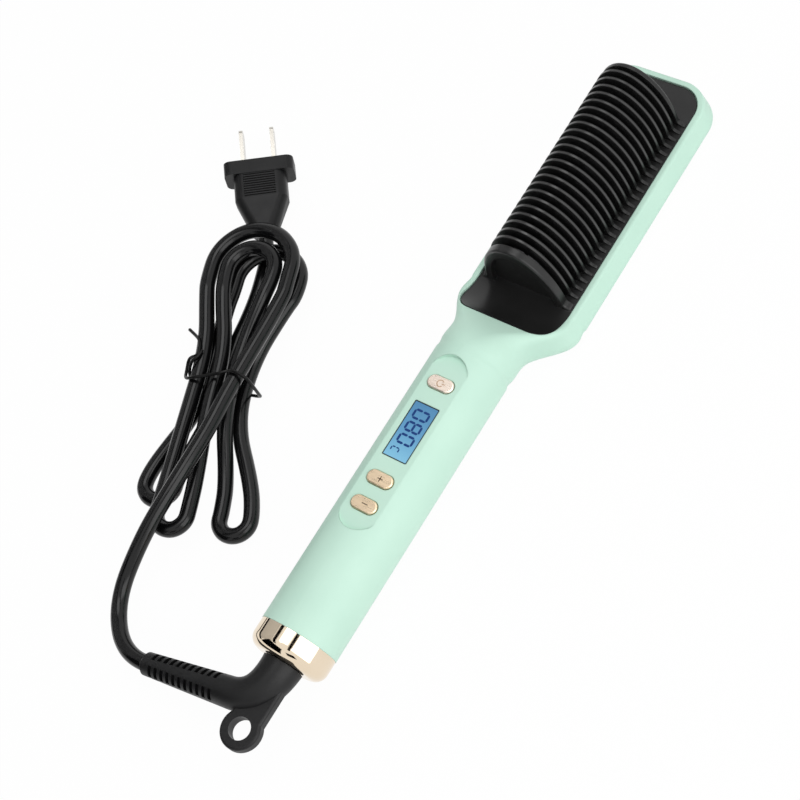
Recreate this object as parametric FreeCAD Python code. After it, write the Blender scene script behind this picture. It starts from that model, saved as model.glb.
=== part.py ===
import FreeCAD, Part
import math
import os
from FreeCAD import Vector

# A corded hair straightening comb lying on its flat back, in millimetres.
# Y runs along the handle towards the head, Z rises out of the comb face, X is to the right.

# Whole comb
overall_length = 268.4
tip_y = overall_length / 2
cap_end_y = -tip_y
handle_radius = 15.0
axis_z = handle_radius
wall = 1.8
overrun = 2.0
slide_gap = 0.2
fit_gap = 0.1
turning_gap = 0.3

# Places along the comb, as shares of its length from the cap's end
station_shares = {
    "board_near": 0.15723,
    "board_post_near": 0.17027,
    "module_near": 0.17958,
    "panel_near": 0.18629,
    "minus": 0.22429,
    "plus": 0.26379,
    "module_far": 0.31371,
    "display": 0.33979,
    "power": 0.41636,
    "board_post_far": 0.4456,
    "board_far": 0.45529,
    "panel_far": 0.45939,
    "neck_start": 0.47019,
    "widen_start": 0.51118,
    "plate_near": 0.54508,
    "widen_end": 0.58197,
    "neck_end": 0.60432,
    "scoop_start": 0.61177,
    "base_near": 0.61177,
    "lid_near": 0.61177,
    "heater_near": 0.62668,
    "rib_first": 0.6304,
    "cover_screw_near": 0.64531,
    "heater_screw_near": 0.65648,
    "rest_post_near": 0.68629,
    "sensor": 0.731,
    "fuse": 0.79061,
    "rest_post_far": 0.86513,
    "heater_screw_far": 0.89493,
    "heater_far": 0.92474,
    "cover_screw_far": 0.93219,
    "base_far": 0.94151,
    "rib_pitch": 0.013152,
    "window": 0.08607,
}


def station(name):
    """A place along the comb."""
    return cap_end_y + station_shares[name] * overall_length


def stretch(name):
    """A length that grows with the comb."""
    return station_shares[name] * overall_length


# Neck and head of the casing
neck_start_y = station("neck_start")
neck_end_y = station("neck_end")
widen_start_y = station("widen_start")
widen_end_y = station("widen_end")
rim_z = 11.0
head_low_half_width = 27.2
head_top_half_width = 22.9
head_corner_radius = 12.0
tip_underside_radius = 3.5
round_share = 0.98
low_corner_share = 0.64
top_corner_share = 0.22
neck_steps = 9
tip_shares = (0.0, 0.3, 0.55, 0.75, 0.9, 0.97, 1.0)

# Control panel on the handle
panel_drop = 1.9
panel_z = 2 * handle_radius - panel_drop
panel_wall = 2.0
panel_inner_z = panel_z - panel_wall
panel_near_y = station("panel_near")
panel_far_y = station("panel_far")
panel_half_width = 7.9

# Comb cover
plate_z = 10.4
plate_thickness = 2.0
plate_half_width = 20.2
plate_near_y = station("plate_near")
plate_tip_gap = 2.4
plate_far_y = tip_y - plate_tip_gap
plate_near_corner = 7.5
plate_far_corner = 10.0
plate_gap = 0.4
scoop_start_y = station("scoop_start")
scoop_rise = 8.4
ledge_width = 3.4
ledge_thickness = 2.0
rib_count = 23
rib_first_y = station("rib_first")
rib_pitch = stretch("rib_pitch")
rib_thickness = 1.2
rib_height = 29.5
rib_half_base = 16.8
rib_turn_shares = (0.0, 0.17, 0.34, 0.5, 0.67, 0.8, 0.91)
foot_half_length = 19.7
foot_height = 1.0
foot_place_shares = (0.15, 0.47, 1.0)
foot_rise_shares = (1.5, 0.85, 0.35)
guard_height = 28.4
near_guard_thickness = 3.3
far_guard_thickness = 2.0
guard_near_y = rib_first_y - rib_pitch + rib_thickness / 2 - near_guard_thickness
guard_far_y = rib_first_y + rib_pitch * rib_count - rib_thickness / 2
guard_edge = 0.9
guard_recess_depth = 2.2
guard_side_rim = 3.2
guard_top_rim = 4.4
slot_half_length = 14.5

# Heating comb, heater and its clamp
fin_thickness = 0.9
fin_height = 25.0
fin_half_base = 13.6
notch_width = 1.4
notch_depth = 7.0
notch_shares = (-0.34, 0.3)
base_half_width = 14.2
base_thickness = 2.6
base_near_y = station("base_near")
base_far_y = station("base_far")
base_top_z = plate_z - plate_thickness
base_low_z = base_top_z - base_thickness
heater_half_width = 9.0
heater_thickness = 1.6
heater_near_y = station("heater_near")
heater_far_y = station("heater_far")
heater_low_z = base_low_z - heater_thickness
sheet_half_width = 9.5
sheet_thickness = 0.5
sheet_low_z = heater_low_z - sheet_thickness
clamp_half_width = 13.4
clamp_thickness = 0.8
clamp_low_z = sheet_low_z - clamp_thickness
heater_screw_x = 11.6
heater_screw_near_y = station("heater_screw_near")
heater_screw_far_y = station("heater_screw_far")
heater_screw_radius = 1.0
heater_screw_grip = 1.6
heater_screw_head_radius = 1.9
heater_screw_head_height = 0.8
sensor_x = 11.2
sensor_radius = 1.0
sensor_length = 6.0
sensor_y = station("sensor")
fuse_length = 11.0
fuse_y = station("fuse")

# Rear cover and its screws
lid_half_width = 20.5
lid_near_y = station("lid_near")
lid_tip_gap = 9.2
lid_far_y = tip_y - lid_tip_gap
lid_corner = 8.0
lid_gap = 0.15
rest_post_radius = 3.0
rest_post_x = 8.0
rest_post_near_y = station("rest_post_near")
rest_post_far_y = station("rest_post_far")
screw_post_radius = 2.6
cover_screw_x = 17.6
cover_screw_near_y = station("cover_screw_near")
cover_screw_far_y = station("cover_screw_far")
cover_screw_radius = 1.1
cover_screw_length = 5.6
cover_screw_head_radius = 2.0
cover_screw_head_height = 0.9
cover_screw_head_depth = 0.3

# Control board and what stands on it
board_edge = 4.0
board_half_width = handle_radius - board_edge
display_side_gap = 0.34
window_side_border = 1.6
ceiling_half_width = math.sqrt((handle_radius - wall) ** 2 - (panel_inner_z - axis_z) ** 2)
display_width = 2 * (ceiling_half_width - display_side_gap)
window_width = display_width - 2 * window_side_border
board_thickness = 1.6
board_depth = 6.5
board_top_z = panel_inner_z - board_depth
board_low_z = board_top_z - board_thickness
board_near_y = station("board_near")
board_far_y = station("board_far")
board_post_radius = 2.0
board_post_inset = 2.8
board_post_x = board_half_width - board_post_inset
board_post_near_y = station("board_post_near")
board_post_far_y = station("board_post_far")
board_screw_radius = 0.9
board_screw_length = 4.6
board_screw_head_radius = 1.7
board_screw_head_height = 1.0
display_y = station("display")
window_length = stretch("window")
window_corner = 0.4
window_sink = 0.15
window_end_border = 1.95
display_length = window_length + 2 * window_end_border
display_thickness = 3.0
display_low_z = panel_inner_z - display_thickness
holder_wall = 1.5
switch_size = 6.0
switch_height = 3.4
switch_bore_radius = 1.7
switch_bore_depth = 2.0
plunger_radius = 1.4
plunger_length = 2.3
plunger_depth = 2.2
plunger_tip_z = panel_inner_z - plunger_depth
module_inset = 3.0
module_half_width = board_half_width - module_inset
module_near_y = station("module_near")
module_far_y = station("module_far")
module_plate = 1.2
capacitor_radius = 4.0
capacitor_length = 14.0
switching_block_length = 10.0
switching_block_height = 4.0

# Buttons
minus_y = station("minus")
plus_y = station("plus")
power_y = station("power")
button_length = 10.8
button_width = 5.3
button_proud = 0.7
button_crown = 0.5
flange_edge = 1.0
flange_height = 1.0
flange_top_z = panel_inner_z - slide_gap
stem_radius = 1.8

# Gold end cap, swivel and elbow
cap_length = 9.8
cap_seam_y = cap_end_y + cap_length
cap_edge_radius = 4.6
cap_floor = 3.0
spigot_length = 5.0
spigot_wall = 1.5
swivel_radius = 5.9
collar_room = 2.6
spigot_inner_radius = handle_radius - wall - fit_gap - spigot_wall
collar_radius = spigot_inner_radius - collar_room
collar_length = 2.0
contact_length = 4.0
contact_bore = 3.0
elbow_radius = 7.8
elbow_reach = 15.6
elbow_corner_y = cap_end_y - elbow_reach
elbow_bend_shares = (0.0, 0.2, 0.4, 0.6, 0.8, 1.0)
arm_joint_side = 11.7
arm_joint_reach = 17.6
arm_joint = Vector(-arm_joint_side, cap_end_y - arm_joint_reach, axis_z)
relief_radius = 5.75
relief_end_radius = 4.3
relief_length = 37.0
relief_direction = Vector(-0.982, -0.165, -0.09)
relief_slots = 11
relief_slot_first = 5.2
relief_slot_pitch = 2.75
relief_slot_width = 1.5
relief_slot_across = 4.4
relief_slot_depth = 1.5
relief_rows = 4
eye_reach = 26.6
eye_y = cap_end_y - eye_reach
eye_strap_reach = 8.0
eye_strap_half_width = 6.3
eye_radius = 4.2
eye_outer_radius = 7.6
eye_thickness = 4.6
eye_edge = 1.0

# Mains cord, its hank, the tie and the plug
cord_radius = 3.1
cord_diameter = 2 * cord_radius
floor_gap = 0.1
strand_step = 6.75
tie_radius = 0.65
tie_lift = 2 * tie_radius + floor_gap
hank_offset = Vector(-44.06, 105.91, 0)
hank_along = Vector(-0.34, 0.94, 0)
hank_across = Vector(0.94, 0.34, 0)
lead_first_run = 18.0
lead_steps = (
    Vector(-33.96, 8.91, 5.6),
    Vector(-39.46, 35.91, 11.0),
    Vector(-35.96, 59.91, 19.8),
)
lead_arrival = Vector(0.06, 0.998, 0)
lead_last_run = 18.0
bend_share = 0.45
start_across = 9.3
start_along = -8.0
start_level = 2
slot_across = (-8.5, -0.4, 6.6, 9.1, -8.2, -1.0)
slot_levels = (1, 1, 1, 0, 0, 0)
top_middle_across = (3.4, 3.4, -4.0)
top_middle_along = (46.2, 45.0, 46.0)
top_radius = (17.0, 10.0, 9.6)
top_levels = (2, 2, 1)
top_entry_sides = (1, -1, 1)
bottom_middle_across = (-3.2, 19.4, -15.5)
bottom_middle_along = (-56.6, -54.0, -43.0)
bottom_radius = (6.3, 6.3, 6.3)
bottom_levels = (1, 0, 0)
bottom_entry_sides = (-1, -1, -1)
tail_across = 2.2
tail_along = 50.0
plug_offset = Vector(-23.7, 63.1, 5.3)
plug_direction = Vector(-0.6, 0.8, 0.145)
plug_roll = math.radians(12)
tie_half_height = 10.9
tie_left = 12.3
tie_right = 16.6
tie_corner = 4.0
tie_tail_length = 12.0
tie_tail_direction = Vector(-0.836, 0.548, 0.1)
gap_step = 2.0
least_turn = 0.0005
plug_tail_radius = 5.0
plug_neck_length = 15.0
plug_body_length = 11.0
plug_body_width = 21.5
plug_body_height = 12.5
plug_body_corner = 4.0
plug_flange_length = 6.0
plug_flange_width = 28.5
plug_flange_height = 13.0
plug_flange_corner = 3.0
plug_ridges = 10
plug_ridge_width = 0.5
plug_ridge_across = 13.0
plug_ridge_depth = 0.5
plug_ridge_start = 0.6
plug_ridge_pitch = 1.05
blade_spacing = 12.7
blade_height = 6.35
blade_thickness = 1.5
blade_length = 16.0
blade_end_radius = 1.6
blade_root = 3.0

# Inner wires
wire_radius = 0.7
wire_x = 5.0
wire_end_z = base_low_z - heater_thickness / 2
heater_wire_shares = (0.2, 0.45, 0.75)
mains_wire_share = 0.33
wire_neck_z = 17.0

up = Vector(0, 0, 1)
along_x = Vector(1, 0, 0)
along_y = Vector(0, 1, 0)


def unit(vector):
    return vector / vector.Length


def block(x0, x1, y0, y1, z0, z1):
    return Part.makeBox(x1 - x0, y1 - y0, z1 - z0, Vector(x0, y0, z0))


def rod(radius, length, start, direction=up):
    return Part.makeCylinder(radius, length, start, direction)


def join(shapes):
    return shapes[0].multiFuse(shapes[1:]).removeSplitter()


def cut_all(shape, tools):
    return shape.cut(Part.makeCompound(tools)) if tools else shape


def smooth(share):
    held = min(1.0, max(0.0, share))
    return held * held * (3 - 2 * held)


def rounded_outline(corners, radii):
    """A closed wire through the corners, each rounded by its own radius."""
    count = len(corners)
    arcs = []
    for i, corner in enumerate(corners):
        back = unit(corners[i - 1] - corner)
        ahead = unit(corners[(i + 1) % count] - corner)
        half = back.getAngle(ahead) / 2
        reach = radii[i] / math.tan(half)
        middle = corner + unit(back + ahead) * (radii[i] / math.sin(half) - radii[i])
        arcs.append((corner + back * reach, middle, corner + ahead * reach))
    edges = []
    for i, (first, middle, last) in enumerate(arcs):
        edges.append(Part.Arc(first, middle, last).toShape())
        edges.append(Part.LineSegment(last, arcs[(i + 1) % count][0]).toShape())
    return Part.Wire(edges)


def rectangle_prism(half_width, y0, y1, near_corner, far_corner, z0, z1, grow=0.0):
    corners = [
        Vector(-half_width - grow, y0 - grow, z0),
        Vector(half_width + grow, y0 - grow, z0),
        Vector(half_width + grow, y1 + grow, z0),
        Vector(-half_width - grow, y1 + grow, z0),
    ]
    near = near_corner + grow
    far = far_corner + grow
    wire = rounded_outline(corners, [near, near, far, far])
    return Part.Face(wire).extrude(up * (z1 - z0))


def stadium(length, width, y, z0, z1, grow=0.0):
    """A bar across the handle with round ends."""
    radius = width / 2 + grow
    offset = (length - width) / 2
    bar = block(-offset, offset, y - radius, y + radius, z0, z1)
    ends = [rod(radius, z1 - z0, Vector(side * offset, y, z0)) for side in (-1, 1)]
    return join([bar] + ends)


def casing_section(y, inset):
    """One cross-section of the casing, from the round handle to the flared head."""
    height_part = smooth((y - neck_start_y) / (neck_end_y - neck_start_y))
    width_part = smooth((y - widen_start_y) / (widen_end_y - widen_start_y))
    top = 2 * handle_radius + (rim_z - 2 * handle_radius) * height_part
    low_half = handle_radius + (head_low_half_width - handle_radius) * width_part
    top_half = handle_radius + (head_top_half_width - handle_radius) * width_part
    past_corner = max(0.0, y - (tip_y - head_corner_radius))
    corner_left = max(0.0, head_corner_radius ** 2 - past_corner ** 2)
    drawn_in = head_corner_radius - math.sqrt(corner_left)
    past_edge = max(0.0, y - (tip_y - tip_underside_radius))
    edge_left = max(0.0, tip_underside_radius ** 2 - past_edge ** 2)
    bottom = tip_underside_radius - math.sqrt(edge_left) + inset
    top -= inset
    low_half -= drawn_in + inset
    top_half -= drawn_in + inset
    half_height = (top - bottom) / 2
    low_radius = half_height * (round_share + (low_corner_share - round_share) * width_part)
    top_radius_here = half_height * (round_share + (top_corner_share - round_share) * height_part)
    low_radius = min(low_radius, round_share * low_half)
    corners = [
        Vector(-low_half, y, bottom),
        Vector(low_half, y, bottom),
        Vector(top_half, y, top),
        Vector(-top_half, y, top),
    ]
    return rounded_outline(corners, [low_radius, low_radius, top_radius_here, top_radius_here])


def casing_body(start_y, end_y, inset):
    places = [start_y, neck_start_y]
    places += [neck_start_y + (neck_end_y - neck_start_y) * (i + 1) / neck_steps for i in range(neck_steps)]
    handle = Part.makeLoft([casing_section(y, inset) for y in places[:2]], True, True)
    neck = Part.makeLoft([casing_section(y, inset) for y in places[1:]], True, False)
    corner_start = tip_y - head_corner_radius
    head = Part.makeLoft([casing_section(y, inset) for y in (neck_end_y, corner_start)], True, True)
    tip_places = [corner_start + (end_y - corner_start) * share for share in tip_shares]
    tip = Part.makeLoft([casing_section(y, inset) for y in tip_places], True, False)
    return join([handle, neck, head, tip])


def scoop_slab(top_drop, low_drop, half_width):
    """The band between two copies of the cover's top line, flat over the head and rising to the neck."""
    run = scoop_start_y - plate_near_y
    radius = (run ** 2 + scoop_rise ** 2) / (2 * scoop_rise)
    centre = Vector(-half_width, scoop_start_y, plate_z + radius)
    sweep = math.asin(run / radius) * (1 + overrun / run)

    def on_arc(angle, drop):
        reach = radius + drop
        return centre + Vector(0, -reach * math.sin(angle), -reach * math.cos(angle))

    far = tip_y + overrun
    top_end = Vector(-half_width, far, plate_z - top_drop)
    low_end = Vector(-half_width, far, plate_z - low_drop)
    edges = [
        Part.Arc(on_arc(sweep, top_drop), on_arc(sweep / 2, top_drop), on_arc(0, top_drop)).toShape(),
        Part.LineSegment(on_arc(0, top_drop), top_end).toShape(),
        Part.LineSegment(top_end, low_end).toShape(),
        Part.LineSegment(low_end, on_arc(0, low_drop)).toShape(),
        Part.Arc(on_arc(0, low_drop), on_arc(sweep / 2, low_drop), on_arc(sweep, low_drop)).toShape(),
        Part.LineSegment(on_arc(sweep, low_drop), on_arc(sweep, top_drop)).toShape(),
    ]
    return Part.Face(Part.Wire(edges)).extrude(along_x * (2 * half_width))


def cover_outline(z0, z1, grow):
    return rectangle_prism(plate_half_width, plate_near_y, plate_far_y, plate_near_corner,
                           plate_far_corner, z0, z1, grow)


def arch_heights(half_base, height, flared):
    """Half of an arch's outline, as distances from its middle and heights over the plate."""
    angles = [share * math.pi / 2 for share in rib_turn_shares]
    outline = [(half_base * math.sin(angle), height * math.cos(angle)) for angle in angles]
    if not flared:
        return outline + [(half_base, 0)]
    run = foot_half_length - half_base
    for place, rise in zip(foot_place_shares, foot_rise_shares):
        outline.append((half_base + place * run, rise * foot_height))
    return outline


def arch(half_base, height, y0, thickness, foot_z, flared=False):
    """One arched plate shaped as half an ellipse, with feet that flow outwards where it is flared."""
    half = arch_heights(half_base, height, flared)
    right = [Vector(x, y0, plate_z + z) for x, z in half]
    left = [Vector(-x, y0, plate_z + z) for x, z in half[:0:-1]]
    points = left + right
    curve = Part.BSplineCurve()
    curve.interpolate(points)
    low_right = Vector(points[-1].x, y0, foot_z)
    low_left = Vector(points[0].x, y0, foot_z)
    edges = [
        curve.toShape(),
        Part.LineSegment(points[-1], low_right).toShape(),
        Part.LineSegment(low_right, low_left).toShape(),
        Part.LineSegment(low_left, points[0]).toShape(),
    ]
    return Part.Face(Part.Wire(edges)).extrude(along_y * thickness)


def soften_crown(solid, y):
    """Rounds the crown edge of an arch on its face at one place along the comb."""
    crowns = [edge for edge in solid.Edges
              if edge.BoundBox.YLength < fit_gap and abs(edge.BoundBox.YMin - y) < fit_gap
              and edge.BoundBox.ZLength > guard_height / 2]
    return solid.makeFillet(guard_edge, crowns)


def rib_gap(i):
    """The two faces on either side of one gap between ribs, or between a rib and a guard."""
    first = rib_first_y + rib_pitch * (i - 1) + rib_thickness / 2
    last = rib_first_y + rib_pitch * i - rib_thickness / 2
    return first, last


def screw_places(x, near_y, far_y):
    return [(side * x, y) for y in (near_y, far_y) for side in (-1, 1)]


def make_front_shell():
    outer = casing_body(cap_seam_y, tip_y, 0)
    inner = casing_body(cap_seam_y - overrun, tip_y - wall, wall)
    roof = block(-handle_radius, handle_radius, cap_seam_y + spigot_length + overrun, panel_far_y + wall,
                 panel_inner_z, 2 * handle_radius)
    shell = outer.cut(inner.cut(roof))
    radius = panel_half_width
    ceiling = 2 * handle_radius + overrun
    flat = block(-radius, radius, panel_near_y + radius, panel_far_y - radius, panel_z, ceiling)
    ends = [rod(radius, ceiling - panel_z, Vector(0, y, panel_z))
            for y in (panel_near_y + radius, panel_far_y - radius)]
    tools = [join([flat] + ends)]
    half = window_length / 2
    below = panel_inner_z - overrun
    tools.append(rectangle_prism(window_width / 2, display_y - half, display_y + half,
                                 window_corner, window_corner, below, ceiling, fit_gap))
    for y in (minus_y, plus_y, power_y):
        tools.append(stadium(button_length, button_width, y, below, ceiling, slide_gap))
    opening = cover_outline(base_low_z, ceiling, plate_gap)
    low_slab = scoop_slab(plate_thickness, ledge_thickness + plate_thickness, head_low_half_width)
    ring = cover_outline(0, ceiling, wall).cut(cover_outline(-overrun, ceiling + overrun, -ledge_width))
    ledge = ring.common(low_slab).common(outer)
    above = scoop_slab(-ceiling, plate_thickness, head_low_half_width)
    tools.append(opening.common(above))
    tools.append(rectangle_prism(lid_half_width, lid_near_y, lid_far_y, lid_corner, lid_corner,
                                 -overrun, wall, lid_gap))
    shell = cut_all(shell, tools)
    ledge_low_z = plate_z - plate_thickness - ledge_thickness
    posts = [rod(screw_post_radius, ledge_low_z - wall + fit_gap, Vector(x, y, wall))
             for x, y in screw_places(cover_screw_x, cover_screw_near_y, cover_screw_far_y)]
    board_posts = [rod(board_post_radius, panel_inner_z - board_top_z + fit_gap, Vector(x, y, board_top_z))
                   for x, y in screw_places(board_post_x, board_post_near_y, board_post_far_y)]
    inside = casing_body(cap_seam_y, tip_y - wall, wall / 2)
    board_posts = [post.common(inside) for post in board_posts]
    shell = join([shell, ledge] + posts + board_posts)
    holes = [rod(cover_screw_radius, cover_screw_length, Vector(x, y, 0))
             for x, y in screw_places(cover_screw_x, cover_screw_near_y, cover_screw_far_y)]
    holes += [rod(board_screw_radius, board_screw_length - board_thickness, Vector(x, y, board_top_z))
              for x, y in screw_places(board_post_x, board_post_near_y, board_post_far_y)]
    return cut_all(shell, holes)


def make_rear_cover():
    plate = rectangle_prism(lid_half_width, lid_near_y, lid_far_y, lid_corner, lid_corner, 0, wall)
    posts = [rod(rest_post_radius, clamp_low_z - wall, Vector(x, y, wall))
             for x, y in screw_places(rest_post_x, rest_post_near_y, rest_post_far_y)]
    holes = []
    for x, y in screw_places(cover_screw_x, cover_screw_near_y, cover_screw_far_y):
        holes.append(rod(cover_screw_radius, wall, Vector(x, y, 0)))
        sink = cover_screw_head_depth + cover_screw_head_height
        holes.append(rod(cover_screw_head_radius, sink, Vector(x, y, 0)))
    return cut_all(join([plate] + posts), holes)


def make_cover_screws():
    screws = []
    for x, y in screw_places(cover_screw_x, cover_screw_near_y, cover_screw_far_y):
        head = rod(cover_screw_head_radius, cover_screw_head_height, Vector(x, y, cover_screw_head_depth))
        shank = rod(cover_screw_radius, cover_screw_length - cover_screw_head_depth,
                    Vector(x, y, cover_screw_head_depth))
        screws.append(head.fuse(shank).removeSplitter())
    return Part.makeCompound(screws)


def make_comb_cover():
    ceiling = 2 * handle_radius
    plate = cover_outline(0, ceiling, 0).common(scoop_slab(0, plate_thickness, head_low_half_width))
    plate_low_z = plate_z - plate_thickness
    solids = [plate]
    slots = []
    for i in range(rib_count):
        face = rib_first_y + rib_pitch * i - rib_thickness / 2
        solids.append(arch(rib_half_base, rib_height, face, rib_thickness, plate_low_z, True))
    near_guard = arch(rib_half_base, guard_height, guard_near_y, near_guard_thickness, plate_low_z, True)
    recess = arch(rib_half_base - guard_side_rim, guard_height - guard_top_rim, guard_near_y,
                  guard_recess_depth, plate_low_z)
    solids.append(soften_crown(near_guard, guard_near_y).cut(recess))
    far_guard = arch(rib_half_base, guard_height, guard_far_y, far_guard_thickness, plate_low_z, True)
    solids.append(soften_crown(far_guard, guard_far_y + far_guard_thickness))
    for i in range(rib_count + 1):
        first, last = rib_gap(i)
        slots.append(block(-slot_half_length, slot_half_length, first, last,
                           plate_low_z - overrun, plate_z + overrun))
    plate = cut_all(plate, slots)
    return join([plate] + solids[1:])


def make_heating_comb():
    base = block(-base_half_width, base_half_width, base_near_y, base_far_y, base_low_z, base_top_z)
    solids = [base]
    for i in range(rib_count + 1):
        y = sum(rib_gap(i)) / 2
        fin = arch(fin_half_base, fin_height, y - fin_thickness / 2, fin_thickness,
                   base_top_z - base_thickness / 2)
        notches = []
        for share in notch_shares:
            x = share * fin_half_base
            crown = plate_z + fin_height
            notches.append(block(x - notch_width / 2, x + notch_width / 2, y - fin_thickness,
                                 y + fin_thickness, crown - notch_depth, crown + overrun))
        solids.append(cut_all(fin, notches))
    comb = join(solids)
    holes = [rod(heater_screw_radius, heater_screw_grip, Vector(x, y, base_low_z))
             for x, y in screw_places(heater_screw_x, heater_screw_near_y, heater_screw_far_y)]
    return cut_all(comb, holes)


def make_heater():
    return block(-heater_half_width, heater_half_width, heater_near_y, heater_far_y, heater_low_z, base_low_z)


def make_insulation_sheet():
    return block(-sheet_half_width, sheet_half_width, heater_near_y, heater_far_y, sheet_low_z, heater_low_z)


def make_heater_clamp():
    plate = block(-clamp_half_width, clamp_half_width, heater_near_y, heater_far_y, clamp_low_z, sheet_low_z)
    holes = [rod(heater_screw_radius + fit_gap, clamp_thickness, Vector(x, y, clamp_low_z))
             for x, y in screw_places(heater_screw_x, heater_screw_near_y, heater_screw_far_y)]
    return cut_all(plate, holes)


def make_heater_screws():
    screws = []
    for x, y in screw_places(heater_screw_x, heater_screw_near_y, heater_screw_far_y):
        head = rod(heater_screw_head_radius, heater_screw_head_height,
                   Vector(x, y, clamp_low_z - heater_screw_head_height))
        shank = rod(heater_screw_radius, base_low_z - clamp_low_z + heater_screw_grip,
                    Vector(x, y, clamp_low_z))
        screws.append(head.fuse(shank).removeSplitter())
    return Part.makeCompound(screws)


def make_sensor(x, y, length):
    return rod(sensor_radius, length, Vector(x, y, base_low_z - sensor_radius), along_y)


def make_control_board():
    board = block(-board_half_width, board_half_width, board_near_y, board_far_y, board_low_z, board_top_z)
    holes = [rod(board_screw_radius + fit_gap, board_thickness, Vector(x, y, board_low_z))
             for x, y in screw_places(board_post_x, board_post_near_y, board_post_far_y)]
    return cut_all(board, holes)


def make_board_screws():
    screws = []
    for x, y in screw_places(board_post_x, board_post_near_y, board_post_far_y):
        head = rod(board_screw_head_radius, board_screw_head_height,
                   Vector(x, y, board_low_z - board_screw_head_height))
        shank = rod(board_screw_radius, board_screw_length, Vector(x, y, board_low_z))
        screws.append(head.fuse(shank).removeSplitter())
    return Part.makeCompound(screws)


def make_power_module():
    plate = block(-module_half_width, module_half_width, module_near_y, module_far_y,
                  board_low_z - module_plate, board_low_z)
    under = board_low_z - module_plate
    capacitor = rod(capacitor_radius, capacitor_length,
                    Vector(0, module_near_y, under - capacitor_radius + module_plate / 2), along_y)
    half = switching_block_length / 2
    switching = block(-half, half, module_far_y - switching_block_length, module_far_y,
                      under - switching_block_height, under)
    return join([plate, capacitor, switching])


def make_display_window():
    half = window_length / 2
    return rectangle_prism(window_width / 2, display_y - half, display_y + half, window_corner, window_corner,
                           panel_inner_z, panel_z - window_sink)


def make_display_module():
    half_x = display_width / 2
    half_y = display_length / 2
    return block(-half_x, half_x, display_y - half_y, display_y + half_y, display_low_z, panel_inner_z)


def make_display_holder():
    half_x = display_width / 2
    half_y = display_length / 2
    outer = block(-half_x, half_x, display_y - half_y, display_y + half_y, board_top_z, display_low_z)
    inner = block(holder_wall - half_x, half_x - holder_wall, display_y - half_y + holder_wall,
                  display_y + half_y - holder_wall, board_top_z, display_low_z)
    return outer.cut(inner)


def make_switch_bodies():
    bodies = []
    half = switch_size / 2
    for y in (minus_y, plus_y, power_y):
        body = block(-half, half, y - half, y + half, board_top_z, board_top_z + switch_height)
        bore = rod(switch_bore_radius, switch_bore_depth,
                   Vector(0, y, board_top_z + switch_height - switch_bore_depth))
        bodies.append(body.cut(bore))
    return Part.makeCompound(bodies)


def make_button(y):
    crown_z = panel_z + button_proud
    cap = stadium(button_length, button_width, y, flange_top_z, crown_z)
    cap = cap.makeFillet(button_crown, [edge for edge in cap.Edges
                                        if min(v.Z for v in edge.Vertexes) > crown_z - fit_gap])
    flange = stadium(button_length, button_width, y, flange_top_z - flange_height, flange_top_z, flange_edge)
    stem_low = plunger_tip_z
    stem = rod(stem_radius, flange_top_z - flange_height - stem_low, Vector(0, y, stem_low))
    return join([cap, flange, stem])


def make_plunger(y):
    return rod(plunger_radius, plunger_length, Vector(0, y, plunger_tip_z - plunger_length))


def on_axis(y):
    return Vector(0, y, axis_z)


def make_end_cap():
    spigot_radius = handle_radius - wall - fit_gap
    barrel = rod(handle_radius, cap_length, on_axis(cap_end_y), along_y)
    barrel = barrel.makeFillet(cap_edge_radius, [edge for edge in barrel.Edges
                                                 if edge.BoundBox.YMax < cap_end_y + fit_gap])
    spigot = rod(spigot_radius, spigot_length + fit_gap, on_axis(cap_seam_y - fit_gap), along_y)
    floor_y = cap_end_y + cap_floor
    hollow = rod(spigot_radius - spigot_wall, cap_length + spigot_length, on_axis(floor_y), along_y)
    hole = rod(swivel_radius + turning_gap, cap_floor, on_axis(cap_end_y), along_y)
    return cut_all(join([barrel, spigot]), [hollow, hole])


def make_contact_block():
    start = cap_end_y + cap_floor + collar_length + 2 * turning_gap
    return rod(spigot_inner_radius, contact_length, on_axis(start), along_y).cut(
        rod(contact_bore, contact_length, on_axis(start), along_y))


def make_swivel_collar():
    start = cap_end_y + cap_floor + turning_gap
    disc = rod(collar_radius, collar_length, on_axis(start), along_y)
    return disc.cut(rod(contact_bore, collar_length, on_axis(start), along_y))


def elbow_ring(share, start, corner):
    """One round section of the elbow, at a share of its curve from the shoulder to the relief."""
    left = 1 - share
    place = start * (left * left) + corner * (2 * left * share) + arm_joint * (share * share)
    heading = unit((corner - start) * left + (arm_joint - corner) * share)
    if share == elbow_bend_shares[-1]:
        heading = unit(relief_direction)
    ring = Part.Wire(Part.makeCircle(elbow_radius + (relief_radius - elbow_radius) * share))
    ring.Placement = FreeCAD.Placement(place, FreeCAD.Rotation(up, heading.cross(up), heading, "ZXY"))
    return ring


def make_cord_elbow():
    shoulder_y = cap_end_y - turning_gap
    stem_end = cap_end_y + cap_floor + turning_gap
    stem = rod(swivel_radius, stem_end - shoulder_y, on_axis(shoulder_y), along_y)
    rings = [elbow_ring(share, on_axis(shoulder_y), on_axis(elbow_corner_y)) for share in elbow_bend_shares]
    bend = Part.makeLoft(rings, True)
    half = eye_thickness / 2
    strap_top_y = cap_end_y - eye_strap_reach
    strap = block(-eye_strap_half_width, eye_strap_half_width, eye_y, strap_top_y,
                  axis_z - half, axis_z + half)
    loop = rod(eye_outer_radius, eye_thickness, Vector(0, eye_y, axis_z - half))
    tab = join([strap, loop])
    rims = [edge for edge in tab.Edges if abs(edge.BoundBox.ZLength) < fit_gap
            and edge.BoundBox.YMin < strap_top_y - fit_gap]
    tab = tab.makeFillet(eye_edge, rims)
    solid = join([stem, bend, tab])
    return solid.cut(rod(eye_radius, eye_thickness + 2 * overrun, Vector(0, eye_y, axis_z - half - overrun)))


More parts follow.
